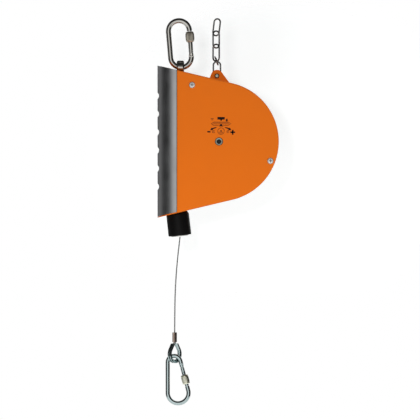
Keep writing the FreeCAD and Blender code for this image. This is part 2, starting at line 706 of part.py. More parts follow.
def teardrop(radius, y=0):
    """A round lower end whose two straight sides lean together, blunted just below the point."""
    lean = THIMBLE_HALF_ANGLE
    top = radius / math.sin(lean) - 0.2
    touch = Vector(radius * math.cos(lean), 0, radius * math.sin(lean))
    half = 0.2 * math.tan(lean)
    corners = [Vector(half, 0, top), touch, Vector(-touch.x, 0, touch.z), Vector(-half, 0, top)]
    wire = Part.Wire([
        Part.LineSegment(corners[0], corners[1]).toShape(),
        Part.Arc(corners[1], Vector(0, 0, -radius), corners[2]).toShape(),
        Part.LineSegment(corners[2], corners[3]).toShape(),
        Part.LineSegment(corners[3], corners[0]).toShape(),
    ])
    wire.translate(Vector(0, y, 0))
    return wire


def thimble():
    """Teardrop channel, open outwards for the rope and rounded off where the hook bears."""
    half = THIMBLE_WIDTH / 2
    body = plate_y(teardrop(THIMBLE_OUT_R), -half, half)
    hole = plate_y(teardrop(THIMBLE_IN_R), -half - 1, half + 1)
    flares = [Part.makeLoft([teardrop(THIMBLE_IN_R, side * (half - THIMBLE_FLARE)),
                             teardrop(THIMBLE_IN_R + THIMBLE_FLARE + 1, side * (half + 1))], True, True)
              for side in (1, -1)]
    groove = plate_y(teardrop(THIMBLE_OUT_R + 2), THIMBLE_WALL - half, half - THIMBLE_WALL)
    groove = groove.cut(plate_y(teardrop(THIMBLE_IN_R + THIMBLE_BASE), -half, half))
    top = FERRULE_TOP - FERRULE_LENGTH - 2.0 - LOOP_Z
    above = block(Vector(-40, -20, top), Vector(40, 20, 60))
    return turned_to_loop(body.cut([hole, groove, above] + flares))


def rope_loop():
    """The rope round the thimble, both ends in the ferrule."""
    radius = THIMBLE_IN_R + THIMBLE_BASE + CABLE_R + 0.05
    lean = THIMBLE_HALF_ANGLE
    top = FERRULE_TOP - FERRULE_LENGTH - LOOP_Z
    touch = Vector(radius * math.cos(lean), 0, radius * math.sin(lean))
    half = touch.x - (top - touch.z) * math.tan(lean)
    edges = [
        Part.LineSegment(Vector(-half, 0, top), Vector(-touch.x, 0, touch.z)).toShape(),
        Part.Arc(Vector(-touch.x, 0, touch.z), Vector(0, 0, -radius), touch).toShape(),
        Part.LineSegment(touch, Vector(half, 0, top)).toShape(),
    ]
    print("rope loop half gap", round(half, 2))
    return turned_to_loop(swept(edges, CABLE_R)).cut(ferrule())


def ferrule():
    """Swaged sleeve with a racetrack section over the two rope parts."""
    corners = [Vector(-4.2, -2.35, 0), Vector(4.2, -2.35, 0), Vector(4.2, 2.35, 0),
               Vector(-4.2, 2.35, 0)]
    body = Part.Face(rounded(corners, [2.3] * 4)).extrude(Vector(0, 0, -FERRULE_LENGTH))
    body.translate(Vector(0, 0, FERRULE_TOP - LOOP_Z))
    return turned_to_loop(body)


# ---------------------------------------------------------------- everything

def build():
    os.makedirs("parts", exist_ok=True)
    top = Carabiner(TOP_NOSE, TOP_NOSE_R, TOP_HINGE, TOP_HINGE_R, 1, TOP_WIRE_R, TOP_SIZES)
    hook = Carabiner(HOOK_NOSE, HOOK_NOSE_R, HOOK_HINGE, HOOK_HINGE_R, -1, HOOK_WIRE_R, HOOK_SIZES)
    for name, carabiner in (("top_carabiner", top), ("hook", hook)):
        save(name + "_body", carabiner.body())
        save(name + "_gate", carabiner.gate())
        save(name + "_pin", carabiner.pin())
        save(name + "_sleeve", carabiner.sleeve())

    save("suspension_eye", suspension_eye())
    floor = WELL_FLOOR - SWIVEL_FLOOR
    save("swivel_bush", turned([(SHANK_R + BORE_CLEAR, 0), (SWIVEL_BUSH_R - 0.02, 0),
                                (SWIVEL_BUSH_R - 0.02, SWIVEL_FLOOR),
                                (SHANK_R + BORE_CLEAR, SWIVEL_FLOOR)], Vector(0, 0, floor), Z))
    save("swivel_washer", turned([(SHANK_R + 0.02, 0), (11.0, 0), (11.0, 1.4), (SHANK_R + 0.02, 1.4)],
                                 Vector(0, 0, floor - 1.7), Z))
    hexagon = [Vector(9.8 * math.cos(math.radians(60 * k)), 9.8 * math.sin(math.radians(60 * k)),
                      floor - 8.8) for k in range(6)]
    nut = Part.Face(Part.makePolygon(hexagon + hexagon[:1])).extrude(Vector(0, 0, 7.0))
    save("swivel_nut", nut.cut(rod(SHANK_R + 0.02, Vector(0, 0, -120), Vector(0, 0, -80))))

    save("front_cover", front_cover())
    save("back_shell", back_shell())
    save("spine_guard", spine_guard())
    save("cover_screws", *[pan_screw(x, z, -HALF_DEPTH) for x, z in COVER_SCREWS])
    inner = HALF_DEPTH - WALL
    save("front_bush", tube(HUB_X, HUB_Z, BUSH_R - 0.02, ARBOR_R + BORE_CLEAR, -inner, BUSH_LENGTH - inner))
    save("rear_bush", tube(HUB_X, HUB_Z, BUSH_R - 0.02, ARBOR_R + BORE_CLEAR, inner - BUSH_LENGTH, inner))
    save("outlet_guide", outlet_guide())

    half_ear = EAR_GAP / 2 + EAR_THICK
    save("chain_pin", turned([(0, -half_ear - 2.4), (2.2, -half_ear - 2.3), (3.6, -half_ear - 1.2),
                              (3.7, -half_ear - 0.05), (CHAIN_PIN_R, -half_ear - 0.05),
                              (CHAIN_PIN_R, half_ear + 3.5), (0, half_ear + 3.5)],
                             Vector(EAR_X, 0, EAR_Z), Y))
    save("chain_pin_nut", turned([(CHAIN_PIN_R + 0.02, half_ear + 0.05), (4.4, half_ear + 0.05),
                                  (4.4, half_ear + 2.4), (3.8, half_ear + 3.2),
                                  (CHAIN_PIN_R + 0.02, half_ear + 3.2)], Vector(EAR_X, 0, EAR_Z), Y))
    for number, (link, point, axis) in enumerate(chain(), 1):
        save("chain_link_%d" % number, link)
        print("chain link", number, "turns at", point, "about", axis)

    save("drum", drum())
    bore = (7.0 + BORE_CLEAR, 8.98)
    save("drum_bushes", *[tube(HUB_X, HUB_Z, bore[1], bore[0], y, y + 6.8) for y in (-4.9, 9.0)])
    save("wound_cable", *wound_cable())
    spots = [polar(54.5, math.radians(90 + 120 * k)) for k in range(3)]
    holes = Part.makeCompound([disc(p.x, p.z, 1.0, -32, -25.9) for p in spots])
    barrel = turned([(52.8, -29.0), (56.0, -29.0), (56.0, -5.1), (52.8, -5.1)], polar(0, 0), Y)
    cover = turned([(13.5, -31.0), (56.0, -31.0), (56.0, -29.1), (13.5, -29.1)], polar(0, 0), Y)
    save("spring_barrel", barrel.cut(holes))
    save("spring_cover", cover.cut(holes))
    save("spring_cover_screws", *[disc(p.x, p.z, 0.97, -31.6, -26.0) for p in spots])
    save("clock_spring", clock_spring())
    save("arbor", arbor())
    save("ratchet_wheel", ratchet_wheel())
    save("pawl", pawl())
    save("pawl_pin", turned([(0, 18.8), (4.5, 18.8), (4.5, 20.2), (PAWL_PIN_R, 20.2),
                             (PAWL_PIN_R, 34.5), (0, 34.5)], Vector(PAWL_X, 0, PAWL_Z), Y))
    save("pawl_spring", pawl_spring())

    save("drawn_cable", drawn_cable())
    save("rubber_buffer", rubber_buffer())
    save("cable_clamp", cable_clamp())
    save("hanging_cable", hanging_cable())
    save("ferrule", ferrule())
    save("thimble", thimble())
    save("rope_loop", rope_loop())


build()
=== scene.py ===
"""Tool balancer: finishes, wire ropes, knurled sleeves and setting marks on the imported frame."""
import math

import bpy
import numpy as np
from bpy.props import FloatProperty, FloatVectorProperty, IntProperty, PointerProperty
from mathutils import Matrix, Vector


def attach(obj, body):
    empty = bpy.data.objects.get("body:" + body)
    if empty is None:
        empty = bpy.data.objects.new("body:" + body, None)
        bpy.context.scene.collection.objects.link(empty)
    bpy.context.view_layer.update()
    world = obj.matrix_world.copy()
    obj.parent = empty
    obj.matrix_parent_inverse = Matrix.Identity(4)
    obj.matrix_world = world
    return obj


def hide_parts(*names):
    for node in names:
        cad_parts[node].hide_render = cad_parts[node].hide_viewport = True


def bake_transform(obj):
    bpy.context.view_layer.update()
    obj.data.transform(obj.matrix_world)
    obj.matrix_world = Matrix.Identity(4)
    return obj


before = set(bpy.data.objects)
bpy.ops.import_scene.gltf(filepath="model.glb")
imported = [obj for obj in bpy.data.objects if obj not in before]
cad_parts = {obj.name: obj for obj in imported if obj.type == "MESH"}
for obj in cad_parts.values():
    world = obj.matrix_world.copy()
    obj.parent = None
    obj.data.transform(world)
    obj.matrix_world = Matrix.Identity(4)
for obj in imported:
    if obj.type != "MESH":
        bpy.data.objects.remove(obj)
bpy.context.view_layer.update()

bl_info = {
    "name": "Tool balancer",
    "version": (1, 0, 0),
    "blender": (4, 5, 0),
    "location": "3D View > Sidebar > Balancer",
    "description": "Dresses the spring balancer's frame with its finishes, ropes, sleeves and marks",
    "category": "Object",
}

MM = 0.001
X, Y, Z = (np.array(v, float) for v in ((1, 0, 0), (0, 1, 0), (0, 0, 1)))

# Places and lengths below are in millimetres, in the part's own frame, unless a comment says metres.

# The rope from the clamp to the ferrule
ROPE_ROUTE = [(-0.7, 0, -329.4), (-3.3, 0, -351.0), (-6.3, 0, -382.0), (-8.2, 0, -414.0),
              (-8.85, 0, -446.0), (-9.0, 0, -477.0)]

# The rope's eye round the thimble: its plane's turn from the front, and its legs' lean to the ferrule
LOOP_CENTRE = np.array((-9.0, 0, -510.3))
LOOP_TURN = math.radians(52.0)
LOOP_RADIUS = 11.25
LOOP_LEAN = math.radians(34.4)
LOOP_TOP = 18.3

# The straight rope inside, from the drum to the clamp. The drum's turns carry the first stretch of
# it, or the rope would lie in them when it pays out.
DRAWN_TOP = np.array((-2.5, 0, -183.5))
DRAWN_END = np.array((-2.5, 0, -308.4))
WOUND_TAIL = 17.0

# The housing's hub and front face, and the chain's pin
HUB = np.array((59.4, 0, -182.7))
FRONT_Y = -38.0
CHAIN_PIN = (56.3, 0, -81.1)

# Carabiner gates: the middles (x, z) and radii of the bends at the nose and at the hinge, and the
# side of the line between them on which the gate lies
GATES = {
    "top_carabiner": dict(nose=(-2.3, -11.98), nose_r=16.2, hinge=(0.9, -52.0), hinge_r=16.0, side=1),
    "hook": dict(nose=(-3.6, -570.3), nose_r=16.05, hinge=(-9.8, -523.1), hinge_r=9.9, side=-1),
}

# Painted shade: dark lines across each gate for the shadow in the joints where it meets the body and its
# sleeve: places along the gate's line
GATE_SHADE_LINES = {
    "top_carabiner": ((35.3, 36.2), (0.0, 0.6)),
    "hook": ((25.0, 25.9), (27.3, 28.1), (37.2, 38.2)),
}

# Screw sleeves: ends along the gate's line, radius at the middle of the barrel, how much its ends
# draw in, radius of the bore, and the depth of the grip as a share of the setting
SLEEVES = {
    "top_carabiner": dict(low=2.0, high=18.2, outer=6.8, taper=1.3, bore=4.3, cut=1.0,
                          finish="knurled_steel", body="top_sleeve"),
    "hook": dict(low=9.9, high=24.4, outer=5.8, taper=0.45, bore=3.55, cut=0.4,
                 finish="passivated_zinc", body="hook_sleeve"),
}
BARREL_POWER = 3.2
GRIP_START = 2.6
GRIP_FADE = 0.5

# Setting marks, each a line of (x, z) from MARKS_CENTRE and its width, or its widths at both ends.
# The arrows' angles are in degrees from the right.
MARKS_CENTRE = HUB + FRONT_Y * Y - 0.7 * Z
ARROW_CENTRE = (2.6, -7.0)
ARROW_RADIUS = 30.0
ARROW_ANGLES = (102.5, 115.5)
ARROW_WIDTHS = (0.9, 1.7)
ARROW_TIP = (3.3, -1.9)
ARROW_HEAD = (3.6, 0.1)
INK_PROUD = 0.03
INK_SUNK = 0.02
BOLD_SCALE = 1.3
BOLD_MARKS = [
    ([(-2.4, 36.3), (8.8, 36.3)], 3.0), ([(3.3, 35.2), (3.3, 32.6)], 1.8),
    ([(12.0, 35.6), (12.0, 33.2)], 1.7), ([(12.0, 33.6), (12.0, 31.0)], (3.4, 0.1)),
    ([(3.1, 23.9), (3.1, 28.0)], (5.4, 0.1)),
    ([(-17.9, 15.6), (-12.9, 15.6)], 1.7),
    ([(17.4, 14.9), (24.8, 14.9)], 1.8), ([(21.1, 11.2), (21.1, 18.6)], 1.8),
    ([(2.2, 16.7), (4.2, 16.7)], 2.0),
]
FINE_MARKS = [
    ([(-12.0, 28.0), (-8.0, 30.6), (14.5, 30.6), (18.5, 28.0), (14.5, 25.4), (6.5, 25.4)], 0.8),
    ([(-12.0, 28.0), (-8.0, 25.4), (-0.2, 25.4)], 0.8),
    ([(-8.5, 29.2), (15.0, 29.2)], 0.7), ([(-10.0, 27.6), (16.5, 27.6)], 0.7),
    ([(-12.6, 35.6), (-8.2, 35.6)], 1.1), ([(-11.8, 33.8), (-9.0, 33.8)], 0.8),
]

# Where a finish gets painted shade: beside the spine guard in x, in the screws' recesses in y, and at
# distances from the hub's axis and from the chain pin's. The last two lie past every distance.
SEAM_SHADE_X = (-5.7, -4.2)
SCREW_RECESS_SHADE_Y = (-39.9, -39.3)
SOCKET_R = 3.5
ARBOR_RIM_R = 5.1
PIN_HEAD_R = 2.7
NEAREST = -1.0
FURTHEST = 40.0

# How facets are softened: reach of the weld in metres, and the angle in degrees that stays an edge,
# on flats with small rounds and on wire
WELD_REACH = 2e-6
FLAT_EDGE = 35.0
WIRE_EDGE = 62.0
SLEEVE_EDGE = 40.0

# Which of the frame's pieces wear which finish
WORN_BY = {
    "moulded_orange": ("front_cover", "back_shell"),
    "drawn_aluminium": ("spine_guard",),
    "polished_steel": ("top_carabiner_body", "top_carabiner_pin", "suspension_eye",
                       "chain_pin_nut"),
    "top_carabiner_gate_finish": ("top_carabiner_gate",),
    "hook_gate_finish": ("hook_gate",),
    "screw_steel": ("cover_screws",),
    "pin_steel": ("chain_pin",),
    "chain_wire": ("chain_link_1", "chain_link_2", "chain_link_3", "chain_link_4", "chain_link_5"),
    "ground_steel": ("swivel_washer", "swivel_nut", "ratchet_wheel", "pawl", "pawl_pin",
                     "cable_clamp", "spring_cover_screws"),
    "arbor_steel": ("arbor",),
    "blue_zinc": ("hook_body", "hook_pin", "thimble"),
    "black_rubber": ("rubber_buffer",),
    "swaged_copper": ("ferrule",),
    "black_nylon": ("outlet_guide",),
    "bearing_bronze": ("swivel_bush", "front_bush", "rear_bush", "drum_bushes"),
    "cast_aluminium": ("drum", "spring_barrel", "spring_cover"),
    "spring_steel": ("clock_spring", "pawl_spring"),
    "stranded_steel": ("wound_cable", "hanging_cable", "drawn_cable", "rope_loop"),
}

# Finishes on round wire, rope and ferrule
WIRY = ("polished_steel", "top_carabiner_gate_finish", "hook_gate_finish", "blue_zinc", "chain_wire",
        "stranded_steel", "swaged_copper")

# The studio, in metres. The world's dark side: share of the way from -X to +X, and grey
DARK_SIDE = ((0.06, 0.09), (0.18, 0.28), (0.25, 0.42))
AIM = (0.0456, 0, -0.288)
FLOOR_REACH = 6.0
FLOOR_Z = -2.8
CARD_Y = 0.3
CARD_CORNERS = ((-0.5, -0.42), (0.65, -0.42), (0.65, 0.3), (-0.5, 0.3))
CARD_CENTRE = (0.16, -0.19)
CARD_RADII = (0.32, 0.26)
CARD_FADE = (0.72, 1.0)
WHITE_PAINT = (0.77, 0.8, 0.8)
WHITE_GLOW = 0.44

# The dark cloth round it: each opening's direction, share of light let through, and power of its lobe
TENT_RADIUS = 8.0
TENT_DARK = 0.03
TENT_KEY = 0.5
TENT_EDGE = 0.3
TENT_OPENINGS = (((-0.12, -0.98, -0.15), 1.0, 8.0), ((0.1, 0.98, -0.1), 1.0, 12.0),
                 ((0.1, -0.3, -0.95), 0.3, 5.0), ((-0.83, 0.55, 0.0), 0.35, 5.0))


# ---------------------------------------------------------------- settings

def colour(name, description, default):
    return FloatVectorProperty(name=name, description=description, subtype="COLOR", size=3,
                               min=0, max=1, default=default)


def length(name, description, default):
    return FloatProperty(name=name, description=description, unit="LENGTH", default=default, min=0,
                         precision=5)


class BalancerColours(bpy.types.PropertyGroup):
    housing: colour("Housing", "Moulded cover and shell", (0.705, 0.144, 0.005))
    spine: colour("Spine", "Drawn aluminium guard", (0.36, 0.363, 0.368))
    steel: colour("Steel", "Upper carabiner, eye, washer, nuts and ratchet", (0.50, 0.485, 0.45))
    zinc: colour("Zinc", "Hook and its gate", (0.47, 0.56, 0.56))
    passivated: colour("Passivated zinc", "Hook's screw sleeve", (0.90, 0.88, 0.72))
    rubber: colour("Rubber", "Stop buffer", (0.004, 0.004, 0.004))
    copper: colour("Copper", "Swaged ferrule", (0.60, 0.46, 0.38))
    ink: colour("Ink", "Printed setting marks", (0.002, 0.002, 0.002))


class BalancerRope(bpy.types.PropertyGroup):
    diameter: length("Diameter", "Across the finished rope", 0.002)
    lay: length("Lay", "Length in which a strand goes once round", 0.0125)
    free_length: length("Free length", "From the clamp to the ferrule", 0.148)
    strands: IntProperty(name="Strands", description="Strands laid round the core", default=6, min=3)


class BalancerSleeves(bpy.types.PropertyGroup):
    teeth: IntProperty(name="Teeth", description="Grooves round a sleeve's grip", default=32, min=8)
    depth: length("Depth", "Depth of the grip's grooves", 0.00038)


class BalancerStage(bpy.types.PropertyGroup):
    key_power: FloatProperty(name="Key power", description="Soft lamp, far in front", default=18.5,
                             min=0, unit="POWER")
    fill_power: FloatProperty(name="Fill power", description="Soft lamp, low in front", default=1.9,
                              min=0, unit="POWER")
    world_level: FloatProperty(name="World level", description="Brightness of the open side",
                               default=0.75, min=0)
    distance: length("Distance", "Camera to the hanging axis", 8.0)
    lens: FloatProperty(name="Lens", description="Focal length in millimetres", default=444.16, min=1)


# ---------------------------------------------------------------- surfaces

def grid_quads(rows, columns, wrap_rows=False):
    """Corner numbers of a grid's quads: each point, the next in its row, and the two a row further.

    Each row is a ring. The rows close into a ring too where wrap_rows is set."""
    i, j = np.meshgrid(np.arange(rows if wrap_rows else rows - 1), np.arange(columns), indexing="ij")
    i_next = (i + 1) % rows
    j_next = (j + 1) % columns
    corners = (i * columns + j, i * columns + j_next, i_next * columns + j_next, i_next * columns + j)
    return np.stack(corners, -1).reshape(-1, 4)


def outward(vertices, faces):
    """Turns a closed skin over if its volume, the sum of the cones from the origin, is negative."""
    corner = [vertices[faces[:, k]] for k in range(4)]
    cones = np.einsum("ij,ij->i", corner[0], np.cross(corner[1], corner[2]))
    cones += np.einsum("ij,ij->i", corner[0], np.cross(corner[2], corner[3]))
    return faces[:, ::-1] if cones.sum() < 0 else faces


def make_piece(name, skins, material, body, smooth=True):
    """One mesh from several skins, each (points in rows and columns, rows closed into a ring or not).

    The points are in millimetres. An open skin gets a fan round its middle at each end."""
    vertices = []
    faces = []
    count = 0
    for points, closed in skins:
        rows, columns = points.shape[:2]
        skin = points.reshape(-1, 3)
        quads = grid_quads(rows, columns, wrap_rows=closed)
        if not closed:
            ring = np.arange(columns)
            after = (ring + 1) % columns
            last = (rows - 1) * columns
            skin = np.vstack([skin, points[0].mean(0), points[-1].mean(0)])
            tip = np.full(columns, len(skin) - 2)
            heel = np.full(columns, len(skin) - 1)
            caps = [np.stack([tip, tip, after, ring], -1),
                    np.stack([heel, heel, last + ring, last + after], -1)]
            quads = np.vstack([quads] + caps)
        quads = outward(skin, quads)
        vertices.append(skin)
        faces.append(quads + count)
        count += len(skin)
    corner_lists = [list(dict.fromkeys(face)) for face in np.vstack(faces).tolist()]
    mesh = bpy.data.meshes.new(name)
    mesh.from_pydata((np.vstack(vertices) * MM).tolist(), [], corner_lists)
    mesh.polygons.foreach_set("use_smooth", np.full(len(mesh.polygons), smooth))
    mesh.update()
    piece = bpy.data.objects.new(name, mesh)
    bpy.context.scene.collection.objects.link(piece)
    piece.data.materials.append(material)
    if body:
        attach(piece, body)
    return piece


def soften(piece, wiry):
    """Joins a faceted piece's triangles, keeps its true edges sharp and evens out its shading:
    by face area where flats meet small rounds, by corner angle on a wire."""
    weld = piece.modifiers.new("Weld", "WELD")
    weld.merge_threshold = WELD_REACH
    split = piece.modifiers.new("Edges", "EDGE_SPLIT")
    split.split_angle = math.radians(WIRE_EDGE if wiry else FLAT_EDGE)
    piece.data.polygons.foreach_set("use_smooth", np.full(len(piece.data.polygons), True))
    normals = piece.modifiers.new("Normals", "WEIGHTED_NORMAL")
    normals.keep_sharp = True
    normals.mode = "CORNER_ANGLE" if wiry else "FACE_AREA"


def resample(points, step):
    """Points evenly spaced by arc length along a line of points."""
    run = np.concatenate([[0], np.cumsum(np.linalg.norm(np.diff(points, axis=0), axis=1))])
    places = np.linspace(0, run[-1], max(2, int(round(run[-1] / step)) + 1))
    return np.stack([np.interp(places, run, points[:, k]) for k in range(3)], -1), places


def across_line(points, beside):
    """Unit vectors across a flat line of points, in its plane, whose normal is beside:
    beside x the line's slope, made one long."""
    slope = np.gradient(points, axis=0)
    slope /= np.linalg.norm(slope, axis=1)[:, None]
    across = np.cross(np.broadcast_to(beside, slope.shape), slope)
    return across / np.linalg.norm(across, axis=1)[:, None]


def tube(points, radius, sides, beside):
    """Rings about each point: point + radius x (cos a x across + sin a x beside)."""
    across = across_line(points, beside)
    a = np.linspace(0, 2 * np.pi, sides, endpoint=False)
    ring = np.cos(a)[None, :, None] * across[:, None] + np.sin(a)[None, :, None] * np.asarray(beside)
    return points[:, None] + radius * ring


def laid_rope(points, rope, beside, step=0.7, sides=6):
    """A core and strands. Strand k's middle lies a third of the diameter from the rope's line, at the
    angle 2 pi (distance / lay + k / strands), and each is a sixth of the diameter in radius. The core
    is a twentieth thicker."""
    line, run = resample(points, step)
    across = across_line(line, beside)
    thick = rope.diameter / MM
    wire = thick / 6
    skins = [(tube(line, wire * 1.05, sides, beside), False)]
    for k in range(rope.strands):
        angle = 2 * np.pi * (run / (rope.lay / MM) + k / rope.strands)
        middle = line + 2 * wire * (np.cos(angle)[:, None] * across + np.sin(angle)[:, None] * beside)
        skins.append((tube(middle, wire, sides, beside), False))
    return skins


def lathe(profile, origin, axis, start, sides, ripple):
    """A closed profile of (radius, distance along axis) turned once round:
    origin + distance x axis + radius x (cos a x start + sin a x the third direction).
    ripple takes (radii, distances, angles) and gives each point its radius."""
    other = np.cross(axis, start)
    a = np.linspace(0, 2 * np.pi, sides, endpoint=False)
    radii = ripple(profile[:, :1], profile[:, 1:], a[None])
    ring = np.cos(a)[None, :, None] * start + np.sin(a)[None, :, None] * other
    return origin + radii[..., None] * ring + profile[:, 1][:, None, None] * axis


# ---------------------------------------------------------------- shared effects

def new_group(name, inputs, outputs):
    group = bpy.data.node_groups.new(name, "ShaderNodeTree")
    for label, kind, default in inputs:
        socket = group.interface.new_socket(label, in_out="INPUT", socket_type=kind)
        if default is not None:
            socket.default_value = default
    for label, kind in outputs:
        group.interface.new_socket(label, in_out="OUTPUT", socket_type=kind)
    return group, group.nodes.new("NodeGroupInput"), group.nodes.new("NodeGroupOutput")


def grain_group():
    """Fine skin and broad clouding: two noises at given scales, as a height and a value."""
    group, given, out = new_group(
        "Skin grain",
        [("Vector", "NodeSocketVector", None), ("Fine scale", "NodeSocketFloat", 2500.0),
         ("Cloud scale", "NodeSocketFloat", 40.0)],
        [("Height", "NodeSocketFloat"), ("Cloud", "NodeSocketFloat")])
    fine = group.nodes.new("ShaderNodeTexNoise")
    cloud = group.nodes.new("ShaderNodeTexNoise")
    fine.inputs["Detail"].default_value = 3.0
    cloud.inputs["Detail"].default_value = 4.0
    for node, scale, output in ((fine, "Fine scale", "Height"), (cloud, "Cloud scale", "Cloud")):
        group.links.new(given.outputs["Vector"], node.inputs["Vector"])
        group.links.new(given.outputs[scale], node.inputs["Scale"])
        group.links.new(node.outputs["Fac"], out.inputs[output])
    return group


def drawn_group():
    """Lines drawn along one direction: a noise squeezed across it and stretched along it."""
    group, given, out = new_group(
        "Drawn lines",
        [("Vector", "NodeSocketVector", None), ("Squeeze", "NodeSocketVector", (900.0, 900.0, 6.0))],
        [("Height", "NodeSocketFloat")])
    scaled = group.nodes.new("ShaderNodeVectorMath")
    scaled.operation = "MULTIPLY"
    noise = group.nodes.new("ShaderNodeTexNoise")
    noise.inputs["Scale"].default_value = 1.0
    noise.inputs["Detail"].default_value = 2.0
    group.links.new(given.outputs["Vector"], scaled.inputs[0])
    group.links.new(given.outputs["Squeeze"], scaled.inputs[1])
    group.links.new(scaled.outputs[0], noise.inputs["Vector"])
    group.links.new(noise.outputs["Fac"], out.inputs["Height"])
    return group


def wires(owner):
    """The nodes and the links of a material or a world."""
    return owner.node_tree.nodes, owner.node_tree.links


def from_axis(material, centre):
    """The distance from an axis along Y through a centre: the length of (x, z) from it, in metres."""
    nodes, links = wires(material)
    place = nodes.new("ShaderNodeTexCoord")
    offset = nodes.new("ShaderNodeVectorMath")
    offset.operation = "MULTIPLY_ADD"
    offset.inputs[1].default_value = (1, 0, 1)
    offset.inputs[2].default_value = (-centre[0] * MM, 0, -centre[2] * MM)
    far = nodes.new("ShaderNodeVectorMath")
    far.operation = "LENGTH"
    links.new(place.outputs["Object"], offset.inputs[0])
    links.new(offset.outputs[0], far.inputs[0])
    return far.outputs["Value"]


def along(material, direction):
    """The distance along a direction: the place's dot product with it, in metres."""
    nodes, links = wires(material)
    place = nodes.new("ShaderNodeTexCoord")
    station = nodes.new("ShaderNodeVectorMath")
    station.operation = "DOT_PRODUCT"
    station.inputs[1].default_value = direction
    links.new(place.outputs["Object"], station.inputs[0])
    return station.outputs["Value"]


def paint_shade(material, measure, low, high, blur=0.15):
    """Paints shade into a finish where a measure lies between two values in millimetres: painted shade
    standing for the shadow in a recess or a joint. Its edges rise and fall over the blur."""
    nodes, links = wires(material)
    shader = nodes["Principled BSDF"]
    ends = []
    for start, stop in ((low - blur, low), (high + blur, high)):
        end = nodes.new("ShaderNodeMapRange")
        end.inputs["From Min"].default_value = start * MM
        end.inputs["From Max"].default_value = stop * MM
        links.new(measure, end.inputs["Value"])
        ends.append(end.outputs["Result"])
    inside = nodes.new("ShaderNodeMath")
    inside.operation = "MULTIPLY"
    links.new(ends[0], inside.inputs[0])
    links.new(ends[1], inside.inputs[1])
    # the painted shade's near-black colour, with no metal in it
    for socket, dark in (("Base Color", (0.012, 0.012, 0.012, 1)), ("Metallic", 0.0)):
        mix = nodes.new("ShaderNodeMix")
        mix.data_type = "RGBA" if socket == "Base Color" else "FLOAT"
        links.new(inside.outputs[0], mix.inputs["Factor"])
        inputs = [i for i in mix.inputs if i.enabled and i.name in "AB"]
        inputs[1].default_value = dark
        if shader.inputs[socket].is_linked:
            links.new(shader.inputs[socket].links[0].from_socket, inputs[0])
        else:
            inputs[0].default_value = shader.inputs[socket].default_value
        links.new([o for o in mix.outputs if o.enabled][0], shader.inputs[socket])


def finish_material(name, tone, metallic, rough, spread=0.05, clouding=0.08, fine=2500.0, cloud=40.0,
                    depth=0.02, squeeze=None, specular=0.5):
    """A finish whose colour and roughness drift with the clouding and whose skin is lightly grained.

    spread and clouding are the drifts, fine and cloud the scales of grain and clouding, depth the
    grain's in millimetres. squeeze draws the grain into lines: small along them, large across."""
    material = bpy.data.materials.new(name)
    material.use_nodes = True
    nodes, links = wires(material)
    shader = nodes["Principled BSDF"]
    shader.inputs["Metallic"].default_value = metallic
    shader.inputs["Specular IOR Level"].default_value = specular
    place = nodes.new("ShaderNodeTexCoord")
    grain = nodes.new("ShaderNodeGroup")
    grain.node_tree = bpy.data.node_groups["Skin grain"]
    grain.inputs["Fine scale"].default_value = fine
    grain.inputs["Cloud scale"].default_value = cloud
    links.new(place.outputs["Object"], grain.inputs["Vector"])
    mix = nodes.new("ShaderNodeMix")
    mix.data_type = "RGBA"
    tone = np.asarray(tone, float)
    mix.inputs["A"].default_value = (*(tone * (1 - clouding)), 1)
    mix.inputs["B"].default_value = (*np.minimum(tone * (1 + clouding), 1), 1)
    links.new(grain.outputs["Cloud"], mix.inputs["Factor"])
    links.new(mix.outputs["Result"], shader.inputs["Base Color"])
    drift = nodes.new("ShaderNodeMapRange")
    drift.inputs["From Min"].default_value = 0.3
    drift.inputs["From Max"].default_value = 0.7
    drift.inputs["To Min"].default_value = rough - spread
    drift.inputs["To Max"].default_value = rough + spread
    links.new(grain.outputs["Cloud"], drift.inputs["Value"])
    links.new(drift.outputs["Result"], shader.inputs["Roughness"])
    bump = nodes.new("ShaderNodeBump")
    bump.inputs["Strength"].default_value = 0.35
    bump.inputs["Distance"].default_value = depth * MM
    height = grain.outputs["Height"]
    if squeeze:
        drawn = nodes.new("ShaderNodeGroup")
        drawn.node_tree = bpy.data.node_groups["Drawn lines"]
        drawn.inputs["Squeeze"].default_value = squeeze
        links.new(place.outputs["Object"], drawn.inputs["Vector"])
        height = drawn.outputs["Height"]
    links.new(height, bump.inputs["Height"])
    links.new(bump.outputs["Normal"], shader.inputs["Normal"])
    return material


# ---------------------------------------------------------------- operators

def even_finishes(c):
    """The finishes that are alike all over their pieces."""
    finish_material("moulded_orange", c.housing, 0.0, 0.48, fine=2200.0, depth=0.03, clouding=0.03,
                    specular=0.12)
    finish_material("polished_steel", c.steel, 1.0, 0.16, depth=0.01)
    finish_material("ground_steel", c.steel, 1.0, 0.30, squeeze=(60.0, 900.0, 900.0), depth=0.01)
    finish_material("blue_zinc", c.zinc, 1.0, 0.18, depth=0.005)
    finish_material("chain_wire", (0.24, 0.24, 0.23), 1.0, 0.20, clouding=0.2, cloud=160.0)
    finish_material("passivated_zinc", c.passivated, 1.0, 0.34, clouding=0.15, cloud=150.0)
    finish_material("knurled_steel", (0.60, 0.56, 0.47), 1.0, 0.38, clouding=0.3, cloud=260.0)
    finish_material("stranded_steel", (0.55, 0.55, 0.54), 1.0, 0.28)
    finish_material("black_rubber", c.rubber, 0.0, 0.42, fine=1500.0, depth=0.04, specular=0.10)
    finish_material("swaged_copper", c.copper, 1.0, 0.30, clouding=0.25, cloud=180.0)
    finish_material("black_nylon", (0.005, 0.005, 0.005), 0.0, 0.45, specular=0.15)
    finish_material("bearing_bronze", (0.55, 0.36, 0.16), 1.0, 0.32)
    finish_material("cast_aluminium", (0.52, 0.53, 0.54), 1.0, 0.42, fine=900.0, depth=0.05)
    finish_material("spring_steel", (0.20, 0.21, 0.25), 1.0, 0.28)
    finish_material("printed_ink", c.ink, 0.0, 0.55, specular=0.2)
    finish_material("thin_ink", (0.12, 0.025, 0.004), 0.0, 0.55, specular=0.2)


